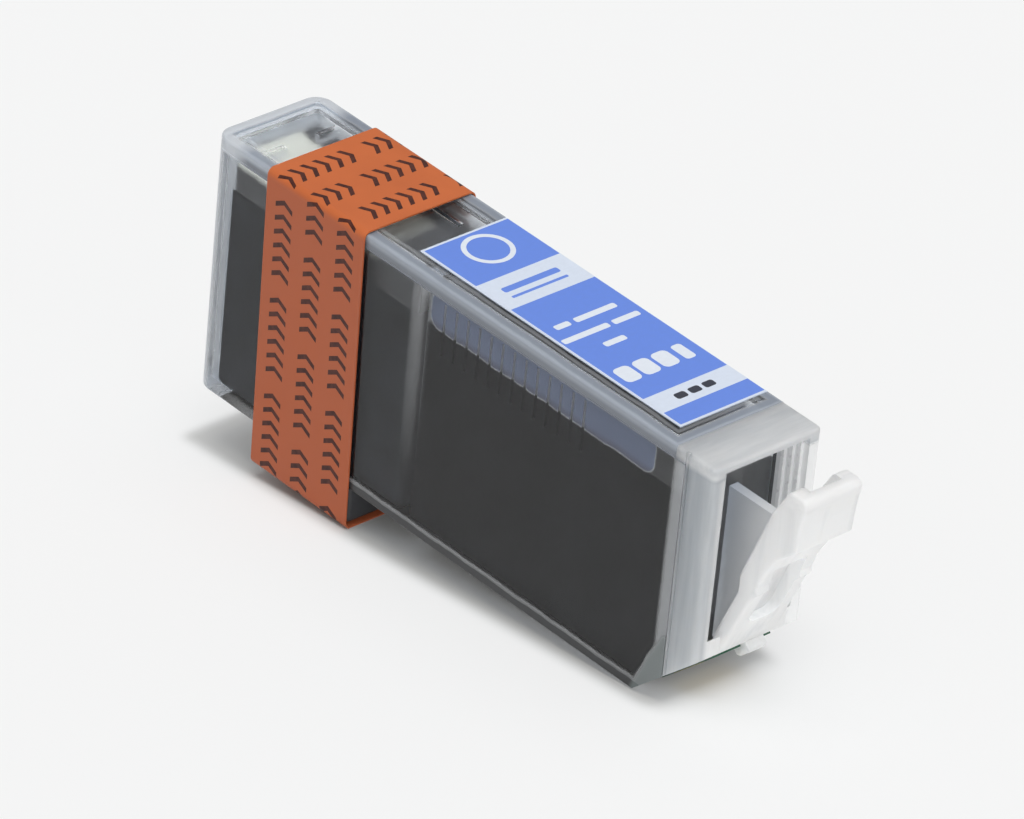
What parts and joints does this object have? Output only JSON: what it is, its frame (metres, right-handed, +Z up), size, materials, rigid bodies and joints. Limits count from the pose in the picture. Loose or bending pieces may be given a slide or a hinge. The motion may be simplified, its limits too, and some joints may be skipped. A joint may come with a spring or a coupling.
{
  "type": "inkjet ink cartridge",
  "caption": "Narrow clear ink cartridge with sponge chamber and ink reservoir, lidded and labelled, with an orange pull tape over its outlet and a latch lever on the end.",
  "frame": {"origin": "middle of the base of the overall box, in the plane of the tape under the outlet cap", "axes": "+X along the tank towards the latch lever, +Z up through the lid, +Y across the narrow width"},
  "size_m": [0.0782, 0.0136, 0.0324],
  "materials": {
    "clear_tank": "clear moulded plastic, slightly hazy",
    "clear_lid": "clear moulded plastic, slightly hazy",
    "plug_rubber": "soft translucent stopper",
    "frosted_frame": "milky, frosted moulded plastic",
    "clear_guide": "clear moulded plastic",
    "circuit_board": "solder mask on thin board",
    "gold_pads": "gold-plated pads",
    "led_lens": "moulded lamp lens",
    "black_resin": "black resin drop",
    "resistor_body": "small chip resistor",
    "soaked_sponge": "absorber soaked with ink",
    "sponge": "cream absorber, soaked below its top",
    "wick_felt": "dense felt soaked with ink",
    "cap_plastic": "dark moulded plastic",
    "gasket_rubber": "soft sealing rubber",
    "ink": "dark liquid ink",
    "label_paper": "blue and white printed label",
    "orange_tape": "orange film tape with dark print"
  },
  "bodies": {
    "root": {"tank_body": "clear_tank", "tank_lid": "clear_lid", "fill_plug": "plug_rubber", "end_frame": "frosted_frame", "light_guide": "clear_guide", "chip_board": "circuit_board", "chip_contacts": "gold_pads", "chip_led": "led_lens", "chip_die": "black_resin", "chip_resistor": "resistor_body", "lower_sponge": "soaked_sponge", "upper_sponge": "sponge", "outlet_wick": "wick_felt", "outlet_cap": "cap_plastic", "cap_gasket": "gasket_rubber", "ink_fill": "ink", "label": "label_paper", "pull_tape": "orange_tape"}
  },
  "joints": []
}
